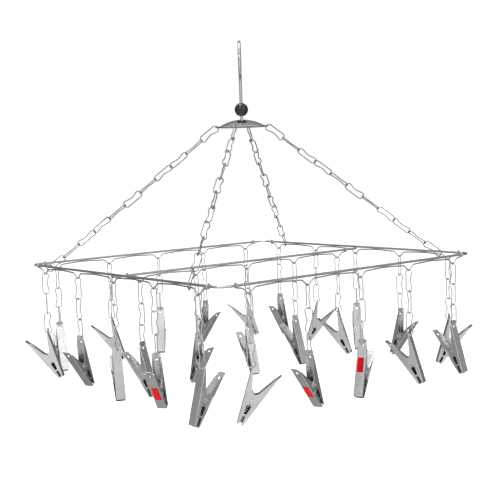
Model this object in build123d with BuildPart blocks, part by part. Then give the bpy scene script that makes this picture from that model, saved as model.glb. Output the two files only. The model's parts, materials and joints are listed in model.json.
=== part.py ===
from build123d import *

import os
from math import acos, atan2, cos, degrees, radians, sin, tan

os.makedirs("parts", exist_ok=True)

# Clip drying hanger: a hook, a bead and a domed canopy plate carry a square wire frame on four
# chains, and 25 sprung clips hang on short chains from V-shaped dips in the thin wires under the
# frame. Millimetres, +Z up. The origin is the inside of the hook's crown, where the hanger rests
# on a rail. The frame's sides run along X and Y.

# ---------------------------------------------------------------- hook, bead and canopy plate
HOOK_WIRE = 3.8
HOOK_RADIUS = 22.0          # centreline of the loop
HOOK_NECK_RADIUS = 16.0     # reverse bend between the shank and the loop
HOOK_PAST_SIDE = 28.0       # degrees that the loop curls on past its outer side
HOOK_YAW = 50.0             # direction in which the hook's mouth opens, in degrees from +X
HEAD_DIAMETER = 9.0         # formed head that keeps the plate on the shank
HEAD_HEIGHT = 2.4
HEAD_FILLET = 0.8
HEAD_GAP = 0.3
SWIVEL_CLEARANCE = 0.1
BEAD_DIAMETER = 17.0
PLATE_RADIUS = 34.0
PLATE_RISE = 8.5            # of the dome's top above the plate's edge
PLATE_SHEET = 0.8
PLATE_BRIM = 6.5            # width of the nearly flat brim round the dome
PLATE_BRIM_DROP = 0.8
PLATE_CROOK = 4.0           # radius between the dome and the brim
CHAIN_HOLE_RING = 31.0
CHAIN_HOLE = 3.8

# ---------------------------------------------------------------- levels above the rim
HOOK_TOP = 276.0
BEAD_LEVEL = 190.0
PLATE_LEVEL = 168.5         # the plate's edge

# ---------------------------------------------------------------- wire frame
FRAME_SIDE = 400.0          # between the rim wire's centrelines
CORNER_RADIUS = 14.0
RIM_WIRE = 3.0
WELD_BITE = 0.1             # how far two welded wires sink into each other
SCALLOP_WIRE = 1.8
STATION_PITCH = 81.7
STATIONS = 5                # dips in each scalloped wire
DIP_DEPTH = 11.0            # from the bar's centreline down to the bottom of a dip
DIP_RADIUS = 2.0
SHOULDER_OUT = 8.0          # from a dip's middle to its shoulder
SHOULDER_DROP = 1.4         # of the shoulder below the top of the arch
SHOULDER_RADIUS = 6.0
ARCH_RADIUS = 150.0
END_LOOP_AT = 180.0         # where a scalloped wire's end is wrapped round its bar

# ---------------------------------------------------------------- chains
LINK_WIRE = 1.4
LINK_LENGTH = 27.05         # centreline, end to end
LINK_WIDTH = 8.4            # centreline
LINK_PINCH = 2.6            # how far one long side is pressed in at its middle
LINK_PINCH_RADIUS = 9.0
LINK_ROUND_END = 0.98       # radius of the straight side's corners, as a share of half the width
LINK_PINCHED_SIDE = 1.2     # how far the pinched side's ends stand out, as such a share
LINK_PINCHED_END = 0.9      # radius of the pinched side's corners, as such a share
LINK_OVERLAP = 1.55         # centreline overlap of two links that hook into each other
LINK_SLACK = 0.05           # between a link and the wire or hole that it hangs on
SUSPENSION_LINKS = 11
SUSPENSION_HALF_TURNS = 6   # twist of a suspension chain from its first link to its last
SUSPENSION_AT = 150.0       # along the rim, from the middle of its side
SUSPENSION_END = (2.9, 4.45)  # end link's tip outside and below the rim wire's centreline
HANGING_LINKS = 3
FIRST_LINK_SHARE = 0.2      # share of a clip's turn that its first link takes up

# ---------------------------------------------------------------- clips
SHEET = 0.7
CLIP_LENGTH = 65.0
CLIP_WIDTH = 11.0
CLIP_ANGLE = 22.4           # between the two backs, jaws closed
JAW_DEPTH = 3.3             # from each back to the jaws' common plane, at the tips
JAW_GAP = 0.1               # each half's edge stops this far short of the common plane
TEETH = 6
TOOTH_PITCH = 1.45
TOOTH_DEPTH = 0.9
MOUTH_DEPTH = 1.0           # how far the toothed edge is cut back from the jaws' common plane
TIP_FLAT = 0.5              # plain edge before the first tooth
WINDOW_START = 11.4
WINDOW_START_DEPTH = 1.4    # each half's share of the opening between the jaws
WINDOW_END = 21.0
WINDOW_END_DEPTH = 2.6
EAR_START = 21.6
EAR_RADIUS = 3.7
EAR_END = 36.0
PIVOT_AT = 28.0             # from the tip
HANDLE_DEPTH = 6.7          # flange depth where the handle starts
EAR_START_DEPTH = 5.7       # flange depth where the ear starts
HANDLE_END_DEPTH = 1.6
FLANGE_END = 58.5
HANDLE_HOLE = 3.4
HANDLE_HOLE_AT = 57.4
LIP_START = 60.4            # the handle's end is bent outwards from here
LIP_BEND = 14.0             # degrees
LIP_CORNER = 2.0
BACK_FILLET = 0.6
EAR_INSET = SHEET + 0.15    # the lever's ears sit inside the hung half's
RIVET_DIAMETER = 3.0
RIVET_HEAD = 4.6
RIVET_HEAD_HEIGHT = 0.5
RIVET_DIMPLE = 1.1          # radius of the dimple punched into each rivet head
RIVET_CLEARANCE = 0.05      # round the shank and under the heads
SPRING_WIRE = 0.9
SPRING_RADIUS = 2.5         # mean radius of the coil
SPRING_TURNS = 4            # whole turns
SPRING_PITCH = 1.05
SPRING_LEG_END = 47.0       # where the legs press on the handles, from the tip
MOVING_LEG_START = 0.08     # share of the lever's own leg left out beside the coil

# Lever directions of the clips, in degrees from +X, for the stations of each wire in order.
LEVER_YAW = {
    "left": (7, -143, 68, -158, 140),
    "front": (-40, -168, 21, 113, 90),
    "right": (-40, -93, 50, -40, -161),
    "back": (76, 140, 50, -87, 140),
    "middle": (104, -96, 78, 87, 122),
}

# ---------------------------------------------------------------- worked-out places
UP = Vector(0, 0, 1)
HALF_SIDE = FRAME_SIDE / 2
RIM_Z = HOOK_WIRE - HOOK_TOP
MIDDLE_BAR_Z = RIM_Z - RIM_WIRE + WELD_BITE
ARCH_DROP = (RIM_WIRE + SCALLOP_WIRE) / 2 - WELD_BITE
PLATE_EDGE_Z = RIM_Z + PLATE_LEVEL
PLATE_APEX_Z = PLATE_EDGE_Z + PLATE_RISE
LINK_PITCH = LINK_LENGTH - LINK_OVERLAP
LINK_SEAT = (SCALLOP_WIRE + LINK_WIRE) / 2 + LINK_SLACK

# Each bar that carries a scalloped wire: its middle, and its direction in degrees from +X.
BARS = {
    "left": (Vector(-HALF_SIDE, 0, RIM_Z), 90),
    "front": (Vector(0, -HALF_SIDE, RIM_Z), 0),
    "right": (Vector(HALF_SIDE, 0, RIM_Z), 90),
    "back": (Vector(0, HALF_SIDE, RIM_Z), 0),
    "middle": (Vector(0, 0, MIDDLE_BAR_Z), 0),
}


def save(piece, name):
    """Label a finished piece and write it to its own file."""
    piece.part.label = name
    export_step(piece.part, f"parts/{name}.step")


def heading(angle):
    """Level unit vector, angle in degrees from +X."""
    return Vector(cos(radians(angle)), sin(radians(angle)), 0)


def start_plane(line):
    """Plane across a wire's path at its start."""
    return Plane(origin=line @ 0, z_dir=line % 0)


# ---------------------------------------------------------------- hook and bead
neck_turn = degrees(acos(HOOK_NECK_RADIUS / (HOOK_RADIUS + HOOK_NECK_RADIUS)))
neck_rise = (HOOK_RADIUS + HOOK_NECK_RADIUS) * sin(radians(neck_turn))
shank_top = HOOK_WIRE / 2 - HOOK_RADIUS - neck_rise
head_top = PLATE_APEX_Z - PLATE_SHEET / 2 - HEAD_GAP
mouth = heading(HOOK_YAW)

with BuildPart() as hook:
    with BuildLine(Plane(origin=(0, 0, 0), x_dir=mouth, z_dir=mouth.cross(UP))) as hook_path:
        shank = Line((0, head_top - HEAD_HEIGHT / 2), (0, shank_top))
        neck = JernArc(shank @ 1, shank % 1, HOOK_NECK_RADIUS, neck_turn)
        JernArc(neck @ 1, neck % 1, HOOK_RADIUS, -(neck_turn + 180 + HOOK_PAST_SIDE))
    with BuildSketch(start_plane(hook_path.line)):
        Circle(HOOK_WIRE / 2)
    sweep(path=hook_path.line)
    with Locations(hook_path.line @ 1):
        Sphere(HOOK_WIRE / 2)
    with BuildSketch(Plane.XY.offset(head_top - HEAD_HEIGHT)):
        Circle(HEAD_DIAMETER / 2)
    extrude(amount=HEAD_HEIGHT)
    fillet(hook.edges().filter_by(GeomType.CIRCLE).group_by(Axis.Z)[0], HEAD_FILLET)
save(hook, "hook")

with BuildPart() as bead:
    with Locations((0, 0, RIM_Z + BEAD_LEVEL)):
        Sphere(BEAD_DIAMETER / 2)
        Cylinder(HOOK_WIRE / 2, 2 * BEAD_DIAMETER, mode=Mode.SUBTRACT)
save(bead, "bead")

# ---------------------------------------------------------------- canopy plate
chain_ends = [
    Vector(x * (HALF_SIDE + SUSPENSION_END[0]), y * SUSPENSION_AT, RIM_Z - SUSPENSION_END[1])
    for x in (-1, 1)
    for y in (-1, 1)
]
brim_slope = PLATE_BRIM_DROP / PLATE_BRIM
hole_z = PLATE_EDGE_Z + brim_slope * (PLATE_RADIUS - CHAIN_HOLE_RING)
chain_holes = [Vector(end.X, end.Y, 0).normalized() * CHAIN_HOLE_RING + UP * hole_z for end in chain_ends]
dome_foot = PLATE_RADIUS - PLATE_BRIM
dome_rise = PLATE_RISE - PLATE_BRIM_DROP
dome_radius = (dome_foot**2 + dome_rise**2) / (2 * dome_rise)

with BuildPart() as canopy_plate:
    with BuildSketch(Plane.XZ):
        with BuildLine():
            dome = RadiusArc((0, PLATE_APEX_Z), (dome_foot, PLATE_APEX_Z - dome_rise), dome_radius)
            brim = Line(dome @ 1, (PLATE_RADIUS, PLATE_EDGE_Z))
            fillet(brim.vertices().sort_by(Axis.X)[0], PLATE_CROOK)
        trace(line_width=PLATE_SHEET)
        with Locations((0, PLATE_APEX_Z)):
            Rectangle(HOOK_WIRE + 2 * SWIVEL_CLEARANCE, PLATE_RADIUS, mode=Mode.SUBTRACT)
    revolve(axis=Axis.Z)
    with Locations(*chain_holes):
        Cylinder(CHAIN_HOLE / 2, PLATE_RISE, mode=Mode.SUBTRACT)
save(canopy_plate, "canopy_plate")

# ---------------------------------------------------------------- one chain link, bent from wire
# The link lies in the XY plane with its length along X. One long side is straight and the other
# is pressed in at its middle, which leaves it kidney-shaped.
link_end = LINK_LENGTH / 2
link_side = LINK_WIDTH / 2
round_end = link_side * LINK_ROUND_END
pinched_side = link_side * LINK_PINCHED_SIDE
pinched_end = link_side * LINK_PINCHED_END

with BuildPart() as link:
    with BuildLine() as link_path:
        FilletPolyline(
            (link_end, link_side),
            (link_end, -pinched_side),
            (0, LINK_PINCH - link_side),
            (-link_end, -pinched_side),
            (-link_end, link_side),
            radius=(round_end, pinched_end, LINK_PINCH_RADIUS, pinched_end, round_end),
            close=True,
        )
    with BuildSketch(start_plane(link_path.line)):
        Circle(LINK_WIRE / 2)
    sweep(path=link_path.line)


def chain_places(tip, along, normals, pitch):
    """Places of a straight chain's links, the first link's outer end at tip."""
    return [
        Plane(origin=tip + along * (link_end + index * pitch), x_dir=along, z_dir=normal).location
        for index, normal in enumerate(normals)
    ]


# ---------------------------------------------------------------- suspension chains
for number, (hole, end) in enumerate(zip(chain_holes, chain_ends), start=1):
    along = (end - hole).normalized()
    level = along.cross(UP).normalized()
    pitch = ((end - hole).length - LINK_LENGTH) / (SUSPENSION_LINKS - 1)
    twist = 180 * SUSPENSION_HALF_TURNS / (SUSPENSION_LINKS - 1)
    normals = [level.rotate(Axis((0, 0, 0), along), twist * index) for index in range(SUSPENSION_LINKS)]
    with BuildPart() as suspension_chain:
        with Locations(*chain_places(hole, along, normals, pitch)):
            add(link.part)
    save(suspension_chain, f"suspension_chain_{number}")

# ---------------------------------------------------------------- rim and middle bar
with BuildPart() as rim:
    with BuildLine(Plane.XY.offset(RIM_Z)) as rim_path:
        FilletPolyline(
            (HALF_SIDE, -HALF_SIDE),
            (HALF_SIDE, HALF_SIDE),
            (-HALF_SIDE, HALF_SIDE),
            (-HALF_SIDE, -HALF_SIDE),
            radius=CORNER_RADIUS,
            close=True,
        )
    with BuildSketch(start_plane(rim_path.line)):
        Circle(RIM_WIRE / 2)
    sweep(path=rim_path.line)
save(rim, "rim")

with BuildPart() as middle_bar:
    with BuildSketch(Plane.YZ.offset(-(FRAME_SIDE + RIM_WIRE) / 2)):
        with Locations((0, MIDDLE_BAR_Z)):
            Circle(RIM_WIRE / 2)
    extrude(amount=FRAME_SIDE + RIM_WIRE)
save(middle_bar, "middle_bar")

# ---------------------------------------------------------------- scalloped wires
# One wire runs under its bar along X, the bar's centreline at Z = 0. It touches the bar at the
# top of each arch, drops into a V at each station, and each end is wrapped round the bar.
stations = [STATION_PITCH * (index - (STATIONS - 1) / 2) for index in range(STATIONS)]
shoulder_z = -ARCH_DROP - SHOULDER_DROP
route = [(-END_LOOP_AT, -ARCH_DROP)]
bends = []
for station in stations:
    route.append((station - SHOULDER_OUT, shoulder_z))
    route.append((station, -DIP_DEPTH))
    route.append((station + SHOULDER_OUT, shoulder_z))
    bends += [SHOULDER_RADIUS, DIP_RADIUS, SHOULDER_RADIUS]
    if station != stations[-1]:
        route.append((station + STATION_PITCH / 2, -ARCH_DROP))
        bends.append(ARCH_RADIUS)
route.append((END_LOOP_AT, -ARCH_DROP))

with BuildPart() as scallop_wire:
    with BuildLine(Plane.XZ) as scallop_path:
        FilletPolyline(*route, radius=bends)
    with BuildSketch(start_plane(scallop_path.line)):
        Circle(SCALLOP_WIRE / 2)
    sweep(path=scallop_path.line)
    with Locations((-END_LOOP_AT, 0, 0), (END_LOOP_AT, 0, 0)):
        Torus(ARCH_DROP, SCALLOP_WIRE / 2, rotation=(0, 90, 0))

with BuildPart() as scallop_wires:
    with Locations(*[Location(middle, (0, 0, angle)) for middle, angle in BARS.values()]):
        add(scallop_wire.part)
save(scallop_wires, "scallop_wires")

# ---------------------------------------------------------------- the two pressed clip halves
# A half is modelled with X inwards from the outside of its back and Z from its tip to its handle.
half_angle = radians(CLIP_ANGLE / 2)


def jaw_plane(u):
    """Depth of the closed jaws' common plane under a half's back, u from the tip."""
    return JAW_DEPTH + u * tan(half_angle)


pivot_depth = jaw_plane(PIVOT_AT)
rivet_hole = RIVET_DIAMETER / 2 + RIVET_CLEARANCE
lip_lean = radians(LIP_BEND)
lip_inward = Vector(cos(lip_lean), 0, sin(lip_lean))


def clip_half(ear_inset):
    """One pressed half of a clip, its ears set in from the flanges by ear_inset."""
    with BuildPart() as half:
        with BuildSketch(Plane.XZ.offset(-CLIP_WIDTH / 2)):
            Polygon(
                (0, 0),
                (jaw_plane(0) - JAW_GAP, 0),
                (jaw_plane(EAR_START) - JAW_GAP, EAR_START),
                (0, EAR_START),
                align=None,
            )
            Polygon(
                (0, EAR_END),
                (HANDLE_DEPTH, EAR_END),
                (HANDLE_END_DEPTH, FLANGE_END),
                (0, FLANGE_END),
                align=None,
            )
            for tooth in range(TEETH):
                low = TIP_FLAT + tooth * TOOTH_PITCH
                root = low + TOOTH_PITCH / 2
                high = low + TOOTH_PITCH
                Polygon(
                    (jaw_plane(low), low),
                    (jaw_plane(low) - MOUTH_DEPTH, low),
                    (jaw_plane(root) - MOUTH_DEPTH - TOOTH_DEPTH, root),
                    (jaw_plane(high) - MOUTH_DEPTH, high),
                    (jaw_plane(high), high),
                    align=None,
                    mode=Mode.SUBTRACT,
                )
            Polygon(
                (jaw_plane(WINDOW_START), WINDOW_START),
                (jaw_plane(WINDOW_START) - WINDOW_START_DEPTH, WINDOW_START),
                (jaw_plane(WINDOW_END) - WINDOW_END_DEPTH, WINDOW_END),
                (jaw_plane(WINDOW_END), WINDOW_END),
                align=None,
                mode=Mode.SUBTRACT,
            )
        extrude(amount=SHEET)
        with BuildSketch(Plane.XZ.offset(ear_inset - CLIP_WIDTH / 2)):
            Polygon(
                (0, EAR_START),
                (EAR_START_DEPTH, EAR_START),
                (HANDLE_DEPTH, EAR_END),
                (0, EAR_END),
                align=None,
            )
            with Locations((pivot_depth, PIVOT_AT)):
                Circle(EAR_RADIUS)
            make_hull()
        extrude(amount=SHEET)
        mirror(about=Plane.XZ)
        with BuildSketch(Plane.YZ):
            Rectangle(CLIP_WIDTH, LIP_START, align=(Align.CENTER, Align.MIN))
            with Locations((0, HANDLE_HOLE_AT)):
                Circle(HANDLE_HOLE / 2, mode=Mode.SUBTRACT)
        extrude(amount=SHEET)
        with Locations((pivot_depth, 0, PIVOT_AT)):
            Cylinder(rivet_hole, CLIP_WIDTH, rotation=(90, 0, 0), mode=Mode.SUBTRACT)
        fillet(half.edges().filter_by(Axis.Z).group_by(Axis.X)[0], BACK_FILLET)
        with BuildSketch(Plane(origin=(0, 0, LIP_START), x_dir=(0, 1, 0), z_dir=lip_inward)) as lip:
            with Locations((0, -SHEET / 2)):
                Rectangle(CLIP_WIDTH, CLIP_LENGTH - LIP_START + SHEET / 2, align=(Align.CENTER, Align.MIN))
            chamfer(lip.vertices().group_by(Axis.Z)[-1], LIP_CORNER)
        extrude(amount=SHEET)
    return half.part


# ---------------------------------------------------------------- rivet and torsion spring
rivet_head_y = CLIP_WIDTH / 2 + RIVET_CLEARANCE
dimple_y = rivet_head_y + RIVET_HEAD_HEIGHT + RIVET_DIMPLE / 2

with BuildPart() as rivet:
    with Locations((pivot_depth, 0, PIVOT_AT)):
        Cylinder(RIVET_DIAMETER / 2, 2 * rivet_head_y, rotation=(90, 0, 0))
    for side in (-1, 1):
        with Locations((pivot_depth, side * (rivet_head_y + RIVET_HEAD_HEIGHT / 2), PIVOT_AT)):
            Cylinder(RIVET_HEAD / 2, RIVET_HEAD_HEIGHT, rotation=(90, 0, 0))
        with Locations((pivot_depth, side * dimple_y, PIVOT_AT)):
            Sphere(RIVET_DIMPLE, mode=Mode.SUBTRACT)

# The spring's coil runs round the rivet. Its legs lie against the insides of the two backs and
# leave the coil at a tangent, so the coil ends where the second leg's tangent starts.
pivot = Vector(pivot_depth, 0, PIVOT_AT)
leg_foot = Vector(SHEET + SPRING_WIRE / 2 + LINK_SLACK, 0, SPRING_LEG_END)
reach = leg_foot - pivot
fixed_leg_angle = degrees(atan2(reach.Z, reach.X) + acos(SPRING_RADIUS / reach.length))
moving_leg_angle = 180 - CLIP_ANGLE - fixed_leg_angle
coil_turns = SPRING_TURNS + ((moving_leg_angle - fixed_leg_angle) % 360) / 360
coil_length = coil_turns * SPRING_PITCH


def side_view(angle):
    """Unit vector in a clip's side view, in degrees from its inward direction."""
    return Vector(cos(radians(angle)), 0, sin(radians(angle)))


with BuildPart() as spring_coil:
    with BuildLine() as coil_path:
        Helix(SPRING_PITCH, coil_length, SPRING_RADIUS)
    with BuildSketch(start_plane(coil_path.line)):
        Circle(SPRING_WIRE / 2)
    sweep(path=coil_path.line, is_frenet=True)

coil_start = pivot + Vector(0, coil_length / 2, 0)
coil_place = Plane(origin=coil_start, x_dir=side_view(fixed_leg_angle), z_dir=(0, -1, 0)).location
leg_root = coil_start + side_view(fixed_leg_angle) * SPRING_RADIUS
leg_run = leg_foot + Vector(0, coil_length / 2, 0) - leg_root

with BuildPart() as spring_leg:
    with BuildSketch(Plane(origin=leg_root, z_dir=leg_run)):
        Circle(SPRING_WIRE / 2)
    extrude(amount=leg_run.length)

with BuildPart() as spring:
    with Locations(coil_place):
        add(spring_coil.part)
    add(spring_leg.part)

# ---------------------------------------------------------------- one clip, jaws closed
# The lever is the other half turned over about the jaws' common plane. Its own spring leg starts
# a hair clear of the coil.
lever_inward = side_view(180 - CLIP_ANGLE)
lever_along = side_view(90 - CLIP_ANGLE)
lever_origin = pivot - lever_inward * pivot_depth - lever_along * PIVOT_AT
turned_over = Plane(origin=lever_origin, x_dir=lever_inward, z_dir=lever_along).location

with BuildPart() as hung_half:
    add(clip_half(0))
    add(rivet.part)
    add(spring.part)

with BuildPart() as moving_leg:
    with BuildSketch(Plane(origin=leg_root + leg_run * MOVING_LEG_START, z_dir=leg_run)):
        Circle(SPRING_WIRE / 2)
    extrude(amount=leg_run.length * (1 - MOVING_LEG_START))

with BuildPart() as lever_half:
    with Locations(turned_over):
        add(clip_half(EAR_INSET))
        add(moving_leg.part)

# The clip hangs on its last link by the handle hole, and balances below it.
link_rest = (HANDLE_HOLE - LINK_WIRE) / 2 - LINK_SLACK
hang_point = Vector(SHEET / 2, 0, HANDLE_HOLE_AT + link_rest)
hung_mass = hung_half.part.volume
lever_mass = lever_half.part.volume
balance = (
    hung_half.part.center(CenterOf.MASS) * hung_mass + lever_half.part.center(CenterOf.MASS) * lever_mass
) / (hung_mass + lever_mass)
hang_tilt = atan2(balance.X - hang_point.X, hang_point.Z - balance.Z)

dip_slope = atan2(shoulder_z + DIP_DEPTH, SHOULDER_OUT)
dip_bottom = DIP_RADIUS / cos(dip_slope) - DIP_RADIUS - DIP_DEPTH
chain_length = LINK_LENGTH + (HANGING_LINKS - 1) * LINK_PITCH
clip_number = 0

for bar, (middle, wire_angle) in BARS.items():
    for station, yaw in zip(stations, LEVER_YAW[bar]):
        clip_number += 1
        dip = middle + heading(wire_angle) * station + UP * dip_bottom
        top = dip + UP * LINK_SEAT
        seat = top - UP * chain_length

        # The first link crosses the dip, the last one lies in the clip's own plane.
        turn = (yaw - wire_angle) % 180 - 90
        first = wire_angle + 90 + FIRST_LINK_SHARE * turn
        second = (first + wire_angle + 90 + turn) / 2 + 90
        flip = 180 * (clip_number % 2)
        link_normals = [heading(first + 90 + flip), heading(second + 90), heading(yaw + 90 + flip)]

        lever_side = heading(yaw)
        inward = lever_side * cos(hang_tilt) - UP * sin(hang_tilt)
        along = UP * cos(hang_tilt) + lever_side * sin(hang_tilt)
        corner = seat - inward * hang_point.X - along * hang_point.Z
        clip_place = Plane(origin=corner, x_dir=inward, z_dir=along).location

        with BuildPart() as clip:
            with Locations(*chain_places(top, -UP, link_normals, LINK_PITCH)):
                add(link.part)
            with Locations(clip_place):
                add(hung_half.part)
        save(clip, f"clip_{clip_number:02d}")

        with BuildPart() as lever:
            with Locations(clip_place):
                add(lever_half.part)
        save(lever, f"lever_{clip_number:02d}")
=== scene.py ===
import json
from math import cos, radians, sin, tan

import bmesh
import bpy
from mathutils import Matrix, Vector

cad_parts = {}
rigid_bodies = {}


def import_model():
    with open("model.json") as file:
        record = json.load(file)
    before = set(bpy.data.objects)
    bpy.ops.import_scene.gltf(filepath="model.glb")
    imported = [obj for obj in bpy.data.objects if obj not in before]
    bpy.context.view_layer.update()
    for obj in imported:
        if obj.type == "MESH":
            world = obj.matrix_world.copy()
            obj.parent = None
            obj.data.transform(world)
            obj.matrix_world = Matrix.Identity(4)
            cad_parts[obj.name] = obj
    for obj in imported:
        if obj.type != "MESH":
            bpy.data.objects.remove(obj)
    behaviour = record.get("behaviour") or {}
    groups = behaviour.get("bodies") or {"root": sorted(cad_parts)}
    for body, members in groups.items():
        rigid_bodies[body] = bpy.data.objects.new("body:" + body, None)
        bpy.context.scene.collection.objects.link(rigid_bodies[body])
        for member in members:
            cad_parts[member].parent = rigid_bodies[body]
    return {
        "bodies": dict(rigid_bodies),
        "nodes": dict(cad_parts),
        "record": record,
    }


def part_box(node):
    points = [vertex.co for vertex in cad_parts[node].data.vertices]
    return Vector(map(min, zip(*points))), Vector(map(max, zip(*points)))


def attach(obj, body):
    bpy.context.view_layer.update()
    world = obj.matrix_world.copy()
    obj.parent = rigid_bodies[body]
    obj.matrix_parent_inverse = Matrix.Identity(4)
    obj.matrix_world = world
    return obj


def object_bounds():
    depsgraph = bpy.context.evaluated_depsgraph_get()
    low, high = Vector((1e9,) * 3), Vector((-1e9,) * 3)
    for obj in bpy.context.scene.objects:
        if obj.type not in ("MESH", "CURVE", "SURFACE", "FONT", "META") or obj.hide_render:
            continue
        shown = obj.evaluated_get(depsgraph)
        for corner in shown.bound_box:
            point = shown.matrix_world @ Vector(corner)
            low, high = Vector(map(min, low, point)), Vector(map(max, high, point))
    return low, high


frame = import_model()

# The polished clip drying hanger: the CAD nodes keep their shapes and get their finishes here, every
# jaw gets a dark ribbed piece that blacks out its inside, three clips get a blank red patch, and a
# pale studio surrounds it all.
# Metres, in the row frame.

cad_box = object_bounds()

# ---------------------------------------------------------------- camera
CAMERA_FROM_RIM = Vector((-0.782, -0.947, 0.1207))  # from the middle of the rim
CAMERA_AZIMUTH = radians(-39.77)
CAMERA_ELEVATION = radians(5.08)
CAMERA_ROLL = radians(-2.0)
CAMERA_LENS = 69.3


def middle_of(node):
    """Middle of a CAD node's box."""
    low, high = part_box(node)
    return (Vector(low) + Vector(high)) / 2


def add_camera():
    """The camera at the picture's angle, looking at the hanger from its front left."""
    back = Vector(
        (
            sin(CAMERA_AZIMUTH) * cos(CAMERA_ELEVATION),
            -cos(CAMERA_AZIMUTH) * cos(CAMERA_ELEVATION),
            sin(CAMERA_ELEVATION),
        )
    )
    right = Vector((cos(CAMERA_AZIMUTH), sin(CAMERA_AZIMUTH), 0))
    up = back.cross(right)
    turn = Matrix.Rotation(CAMERA_ROLL, 3, back)
    data = bpy.data.cameras.new("camera")
    data.lens = CAMERA_LENS
    data.sensor_width = 36
    camera = bpy.data.objects.new("camera", data)
    basis = Matrix((turn @ right, turn @ up, back)).transposed()
    camera.matrix_world = Matrix.Translation(middle_of("rim") + CAMERA_FROM_RIM) @ basis.to_4x4()
    bpy.context.scene.collection.objects.link(camera)
    bpy.context.scene.camera = camera


add_camera()


# ---------------------------------------------------------------- material building blocks
class Patterns:
    """A node tree and the patterns that materials and the surround are built with."""

    def __init__(self, tree, coordinates):
        self.tree = tree
        self.place = self.node("ShaderNodeTexCoord").outputs[coordinates]

    def node(self, kind, **settings):
        made = self.tree.nodes.new(kind)
        for key, value in settings.items():
            setattr(made, key, value)
        return made

    def ramp(self, value, *stops):
        """A colour for each stop of (position, colour or grey)."""
        made = self.node("ShaderNodeValToRGB")
        points = made.color_ramp.elements
        while len(points) < len(stops):
            points.new(0.5)
        for point, (position, colour) in zip(points, stops):
            point.position = position
            point.color = (*colour, 1) if isinstance(colour, tuple) else (colour, colour, colour, 1)
        self.tree.links.new(value, made.inputs["Fac"])
        return made.outputs["Color"]

    def mix(self, kind, first, second, share):
        """Two patterns mixed as colours."""
        made = self.node("ShaderNodeMix", data_type="RGBA", blend_type=kind)
        made.inputs["Factor"].default_value = share
        self.tree.links.new(first, made.inputs["A"])
        self.tree.links.new(second, made.inputs["B"])
        return made.outputs["Result"]


class Surface(Patterns):
    """A Principled material."""

    def __init__(self, name, **fixed):
        self.material = bpy.data.materials.new(name)
        self.material.use_nodes = True
        super().__init__(self.material.node_tree, "Object")
        self.shader = self.tree.nodes["Principled BSDF"]
        for socket, value in fixed.items():
            self.shader.inputs[socket.replace("_", " ")].default_value = value

    def noise(self, scale, detail=3.0, roughness=0.5, stretch=(1, 1, 1)):
        """Noise with scale counted per metre, stretched along the row axes."""
        mapping = self.node("ShaderNodeMapping")
        mapping.inputs["Scale"].default_value = stretch
        self.tree.links.new(self.place, mapping.inputs["Vector"])
        made = self.node("ShaderNodeTexNoise")
        made.inputs["Scale"].default_value = scale
        made.inputs["Detail"].default_value = detail
        made.inputs["Roughness"].default_value = roughness
        self.tree.links.new(mapping.outputs["Vector"], made.inputs["Vector"])
        return made.outputs["Fac"]

    def spread(self, value, low, high):
        """The value's middle range mapped to low ... high."""
        made = self.node("ShaderNodeMapRange")
        made.inputs["From Min"].default_value = 0.3
        made.inputs["From Max"].default_value = 0.7
        made.inputs["To Min"].default_value = low
        made.inputs["To Max"].default_value = high
        self.tree.links.new(value, made.inputs["Value"])
        return made.outputs["Result"]

    def bump(self, height, distance, strength=1.0, under=None):
        """A bump of that height in metres, on top of another bump."""
        made = self.node("ShaderNodeBump")
        made.inputs["Distance"].default_value = distance
        made.inputs["Strength"].default_value = strength
        self.tree.links.new(height, made.inputs["Height"])
        if under is not None:
            self.tree.links.new(under, made.inputs["Normal"])
        return made.outputs["Normal"]

    def drive(self, socket, value):
        self.tree.links.new(value, self.shader.inputs[socket])


def polished_steel(name, pale, dark, smooth, dull, ripple):
    """Stainless steel: cloudy tone, handled smudges, fine polishing marks and a slight ripple."""
    steel = Surface(name, Metallic=1.0)
    clouds = steel.noise(38, detail=4)
    specks = steel.noise(900, detail=2)
    tone = steel.ramp(clouds, (0.3, dark), (0.72, pale))
    steel.drive("Base Color", steel.mix("MULTIPLY", tone, steel.ramp(specks, (0.25, 0.86), (0.6, 1.0)), 0.6))
    smudges = steel.noise(95, detail=5, roughness=0.6)
    steel.drive("Roughness", steel.spread(smudges, smooth, dull))
    waves = steel.bump(steel.noise(120, detail=1), ripple)
    marks = steel.noise(1400, detail=2, stretch=(1, 1, 0.22))
    steel.drive("Normal", steel.bump(marks, 0.00001, 0.2, under=waves))
    return steel.material


def black_bead():
    """Glossy black moulded plastic with faint flow clouds and rubbed patches."""
    plastic = Surface("bead_black", Coat_Weight=0.6, Coat_Roughness=0.05)
    plastic.drive("Base Color", plastic.ramp(plastic.noise(160), (0.35, 0.004), (0.8, 0.016)))
    plastic.drive("Roughness", plastic.spread(plastic.noise(420, detail=5), 0.07, 0.2))
    plastic.drive("Normal", plastic.bump(plastic.noise(300, detail=2), 0.00004, 0.5))
    return plastic.material


def red_patch():
    """Printed red film: even colour with a little fade, paper tooth under a soft gloss."""
    film = Surface("patch_red", Specular_IOR_Level=0.15)
    fade = film.noise(240, detail=4)
    film.drive("Base Color", film.ramp(fade, (0.3, (0.5, 0.0, 0.003)), (0.75, (0.62, 0.001, 0.006))))
    film.drive("Roughness", film.spread(film.noise(700), 0.5, 0.7))
    film.drive("Normal", film.bump(film.noise(2600, detail=3), 0.00003, 0.5))
    return film.material


def dark_jaw_surface():
    """Matt black with faint clouds and a fine grain, for the dark pieces that black out the jaws."""
    blackening = Surface("dark_jaw_matt", Specular_IOR_Level=0.3)
    blackening.drive("Base Color", blackening.ramp(blackening.noise(210, detail=4), (0.35, 0.006), (0.8, 0.02)))
    blackening.drive("Roughness", blackening.spread(blackening.noise(500, detail=4), 0.5, 0.75))
    blackening.drive("Normal", blackening.bump(blackening.noise(2200, detail=2), 0.00003, 0.6))
    return blackening.material


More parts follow.
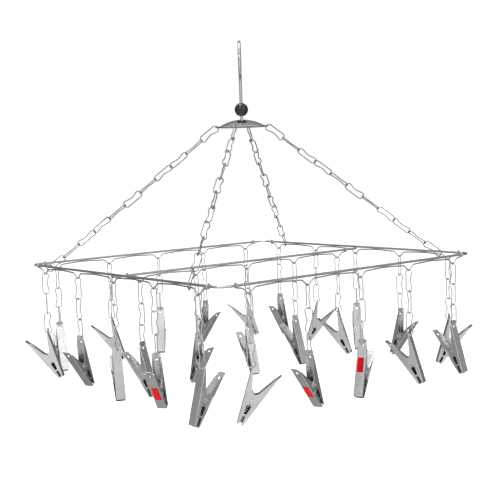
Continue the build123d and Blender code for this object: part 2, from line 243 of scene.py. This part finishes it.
FINISHES = {
    "hook_steel": polished_steel("steel_hook", 0.82, 0.64, 0.12, 0.26, 0.00002),
    "plate_steel": polished_steel("steel_plate", 0.92, 0.74, 0.08, 0.22, 0.0003),
    "frame_steel": polished_steel("steel_frame", 0.8, 0.62, 0.18, 0.34, 0.00002),
    "chain_steel": polished_steel("steel_chain", 0.48, 0.32, 0.18, 0.34, 0.00002),
    "clip_steel": polished_steel("steel_clip", 0.86, 0.72, 0.2, 0.34, 0.00002),
    "bead_plastic": black_bead(),
}

for part in frame["record"]["subparts"]:
    node = frame["nodes"][part["node"]]
    for slot in node.material_slots:
        slot.material = FINISHES[part["material_slot"]]


# ---------------------------------------------------------------- dark jaw pieces and patches on the clips
# A clip half's own frame runs inwards from its back, across it, and along it from the tips.
CLIP_WIDTH = 0.011
SHEET = 0.0007
CLIP_ANGLE = radians(22.4)      # between a clip's two backs
HANG_TILT = radians(16.72)      # of a hung half's back from plumb
JAW_DEPTH = 0.0033              # of the closed jaws' common plane under a back, at the tips
PIVOT_AT = 0.028                # from the tips
PIVOT_DEPTH = JAW_DEPTH + PIVOT_AT * tan(CLIP_ANGLE / 2)
# The dark ribbed piece in each jaw, which blacks out the inside of the jaw.
DARK_JAW_START = 0.0012
DARK_JAW_END = 0.0212
DARK_JAW_CLEAR = 0.00015            # between a dark jaw piece and the pressed steel round it
DARK_JAW_BACK_OFF = 0.0004          # from the jaws' common plane
DARK_JAW_RIBS = 9
DARK_JAW_RIB_DEPTH = 0.0005
# A rib's outline, as shares of its pitch and whether the point is in a groove.
DARK_JAW_RIB = ((0.08, True), (0.3, False), (0.7, False), (0.92, True))
DARK_JAW_EDGE = 0.00008             # softening of its edges
DARK_JAW_EDGE_STEPS = 2
PATCH_WIDTH = 0.0076
PATCH_CORNER = 0.0006
PATCH_THICK = 0.0002
PATCH_CORNER_STEPS = 6
# Rings from its foot to its face: share of the thickness, share of the corner's radius.
PATCH_RINGS = ((0, 1), (0.7, 1), (1, 0.85))
# Clip, half, middle from the tips, length.
PATCHES = (("02", "lever", 0.026, 0.021), ("07", "lever", 0.026, 0.0175), ("08", "clip", 0.0355, 0.0165))
UP = Vector((0, 0, 1))


def clip_frame(number, half):
    """A clip half's own frame as a matrix: inwards, across and along from the tip end of its back."""
    joints = frame["record"]["behaviour"]["joints"]
    joint = next(joint for joint in joints if joint["name"] == f"clip_{number}_squeeze")
    pivot = Vector(joint["pos_m"])
    side = UP.cross(Vector(joint["axis"]))
    inward = side * cos(HANG_TILT) - UP * sin(HANG_TILT)
    along = UP * cos(HANG_TILT) + side * sin(HANG_TILT)
    if half == "lever":
        turned = along * sin(CLIP_ANGLE) - inward * cos(CLIP_ANGLE)
        along = inward * sin(CLIP_ANGLE) + along * cos(CLIP_ANGLE)
        inward = turned
    corner = pivot - inward * PIVOT_DEPTH - along * PIVOT_AT
    turn = Matrix((inward, along.cross(inward), along)).transposed()
    return Matrix.Translation(corner) @ turn.to_4x4()


def ride_clip(made, name, number, half, material):
    """A finished bmesh in a clip half's own frame, made into a piece that rides on that half."""
    bmesh.ops.recalc_face_normals(made, faces=made.faces)
    mesh = bpy.data.meshes.new(name)
    made.to_mesh(mesh)
    made.free()
    mesh.transform(clip_frame(number, half))
    mesh.materials.append(material)
    piece = bpy.data.objects.new(name, mesh)
    bpy.context.scene.collection.objects.link(piece)
    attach(piece, f"{half}_{number}")


def add_dark_jaw_piece(number, half, blackening):
    """The dark ribbed piece that blacks out a jaw's inside: its side profile, extruded across, with softened
    edges.
    """
    pitch = (DARK_JAW_END - DARK_JAW_START) / DARK_JAW_RIBS
    profile = [(SHEET + DARK_JAW_CLEAR, DARK_JAW_END), (SHEET + DARK_JAW_CLEAR, DARK_JAW_START)]
    for rib in range(DARK_JAW_RIBS):
        for share, in_groove in DARK_JAW_RIB:
            at = DARK_JAW_START + pitch * (rib + share)
            drop = DARK_JAW_BACK_OFF + DARK_JAW_RIB_DEPTH * in_groove
            profile.append((JAW_DEPTH + at * tan(CLIP_ANGLE / 2) - drop, at))
    width = CLIP_WIDTH / 2 - SHEET - DARK_JAW_CLEAR
    made = bmesh.new()
    sides = [[made.verts.new((depth, across, at)) for depth, at in profile] for across in (-width, width)]
    made.faces.new(sides[0])
    made.faces.new(list(reversed(sides[1])))
    for index in range(len(profile)):
        after = (index + 1) % len(profile)
        made.faces.new((sides[0][index], sides[1][index], sides[1][after], sides[0][after]))
    bmesh.ops.bevel(made, geom=made.edges[:], offset=DARK_JAW_EDGE, segments=DARK_JAW_EDGE_STEPS, affect="EDGES")
    ride_clip(made, f"dark_jaw_piece_{half}_{number}", number, half, blackening)


def add_patch(number, half, centre_at, length, film):
    """A blank film with rounded corners and a softened edge, stuck on a clip half's back."""
    outline = []
    for x, y, start in ((1, 1, 0), (-1, 1, 90), (-1, -1, 180), (1, -1, 270)):
        for step in range(PATCH_CORNER_STEPS + 1):
            angle = radians(start + 90 * step / PATCH_CORNER_STEPS)
            outline.append(((x, y), (cos(angle), sin(angle))))
    made = bmesh.new()
    rings = []
    for lift, radius in PATCH_RINGS:
        ring = []
        for (x, y), (turn_x, turn_y) in outline:
            across = x * (PATCH_WIDTH / 2 - PATCH_CORNER) + turn_x * radius * PATCH_CORNER
            at = centre_at + y * (length / 2 - PATCH_CORNER) + turn_y * radius * PATCH_CORNER
            ring.append(made.verts.new((-PATCH_THICK * lift, across, at)))
        rings.append(ring)
    for lower, upper in zip(rings, rings[1:]):
        for index in range(len(outline)):
            after = (index + 1) % len(outline)
            made.faces.new((lower[index], lower[after], upper[after], upper[index]))
    made.faces.new(rings[-1])
    made.faces.new(list(reversed(rings[0])))
    ride_clip(made, f"patch_{number}", number, half, film)


# Every clip half gets a dark ribbed piece in its jaw, which blacks out the inside of the jaws.
dark_jaw_material = dark_jaw_surface()
patch_material = red_patch()
for body in frame["bodies"]:
    if body.startswith(("clip_", "lever_")):
        half, number = body.split("_")
        add_dark_jaw_piece(number, half, dark_jaw_material)
for number, half, centre_at, length in PATCHES:
    add_patch(number, half, centre_at, length, patch_material)

# ---------------------------------------------------------------- studio
FLOOR_BELOW = 0.35          # under the lowest clip tip
FLOOR_HALF = 9.0
FRONT = Vector((-0.64, -0.77, 0.05))     # from the hanger towards the lit side of the room
# Greys by how far a direction points at the lit side, and by its height; 0.5 is sideways or level.
FRONT_SHADES = ((0.0, 0.05), (0.42, 0.1), (0.6, 0.42), (0.8, 0.62), (1.0, 0.82))
HEIGHT_SHADES = ((0.0, 0.36), (0.3, 0.2), (0.46, 0.08), (0.58, 0.08), (0.8, 0.36), (1.0, 0.8))
# Uneven patches over the room.
CLUTTER_SCALE = 3.2
CLUTTER_DETAIL = 2
CLUTTER_SHADES = ((0.42, 0.3), (0.58, 1.0))
CLUTTER_SHARE = 0.55
# Each soft box: its place from the middle of the rim, its size and its power in watts.
SOFTBOXES = {
    "key": ((-1.75, -0.75, 0.75), (0.1, 0.5), 2),
    "fill": ((0.15, -2.0, 0.75), (0.1, 0.5), 2),
    "top": ((-0.2, 0.3, 2.0), (1.2, 0.8), 12),
}


def studio_surface():
    """Pale matt paper with a soft glow, so that it stays white to its edge."""
    paper = Surface("studio_paper", Roughness=0.9, Specular_IOR_Level=0.1, Emission_Strength=0.75)
    paper.shader.inputs["Emission Color"].default_value = (1, 1, 1, 1)
    paper.drive("Base Color", paper.ramp(paper.noise(4), (0.3, 0.9), (0.7, 0.94)))
    return paper.material


def add_floor():
    """A pale floor that the hanger hangs above. The steel mirrors the room instead of it."""
    floor_z = cad_box[0][2] - FLOOR_BELOW
    mesh = bpy.data.meshes.new("floor")
    corners = [(-1, -1), (1, -1), (1, 1), (-1, 1)]
    mesh.from_pydata([(x * FLOOR_HALF, y * FLOOR_HALF, floor_z) for x, y in corners], [], [(0, 1, 2, 3)])
    mesh.materials.append(studio_surface())
    floor = bpy.data.objects.new("floor", mesh)
    floor.visible_glossy = False
    bpy.context.scene.collection.objects.link(floor)


def add_softbox(name, place, aim, size, power):
    """A rectangular area light at place that looks at aim."""
    data = bpy.data.lights.new(name, "AREA")
    data.shape = "RECTANGLE"
    data.size, data.size_y = size
    data.energy = power
    light = bpy.data.objects.new(name, data)
    light.location = place
    light.rotation_euler = (aim - place).to_track_quat("-Z", "Y").to_euler()
    bpy.context.scene.collection.objects.link(light)


def add_surround():
    """White behind the hanger, and a room, dark behind and lit in front, that the steel mirrors."""
    world = bpy.data.worlds.new("studio")
    world.use_nodes = True
    sky = Patterns(world.node_tree, "Generated")
    links = world.node_tree.links

    def shades(direction, stops):
        reach = sky.node("ShaderNodeVectorMath", operation="DOT_PRODUCT")
        reach.inputs[1].default_value = direction
        links.new(sky.place, reach.inputs[0])
        spread = sky.node("ShaderNodeMapRange")
        spread.inputs["From Min"].default_value = -1
        links.new(reach.outputs["Value"], spread.inputs["Value"])
        return sky.ramp(spread.outputs["Result"], *stops)

    clutter = sky.node("ShaderNodeTexNoise")
    clutter.inputs["Scale"].default_value = CLUTTER_SCALE
    clutter.inputs["Detail"].default_value = CLUTTER_DETAIL
    links.new(sky.place, clutter.inputs["Vector"])
    room = sky.mix("ADD", shades(FRONT.normalized(), FRONT_SHADES), shades(UP, HEIGHT_SHADES), 1)
    room = sky.mix("MULTIPLY", room, sky.ramp(clutter.outputs["Fac"], *CLUTTER_SHADES), CLUTTER_SHARE)
    around = world.node_tree.nodes["Background"]
    links.new(room, around.inputs["Color"])
    white = sky.node("ShaderNodeBackground")
    white.inputs["Color"].default_value = (1, 1, 1, 1)
    blend = sky.node("ShaderNodeMixShader")
    links.new(sky.node("ShaderNodeLightPath").outputs["Is Camera Ray"], blend.inputs["Fac"])
    links.new(around.outputs["Background"], blend.inputs[1])
    links.new(white.outputs["Background"], blend.inputs[2])
    links.new(blend.outputs["Shader"], world.node_tree.nodes["World Output"].inputs["Surface"])
    bpy.context.scene.world = world


add_floor()
add_surround()
centre = middle_of("rim")
for name, (place, size, power) in SOFTBOXES.items():
    add_softbox(name, centre + Vector(place), centre, size, power)
bpy.context.scene.view_settings.view_transform = "Standard"
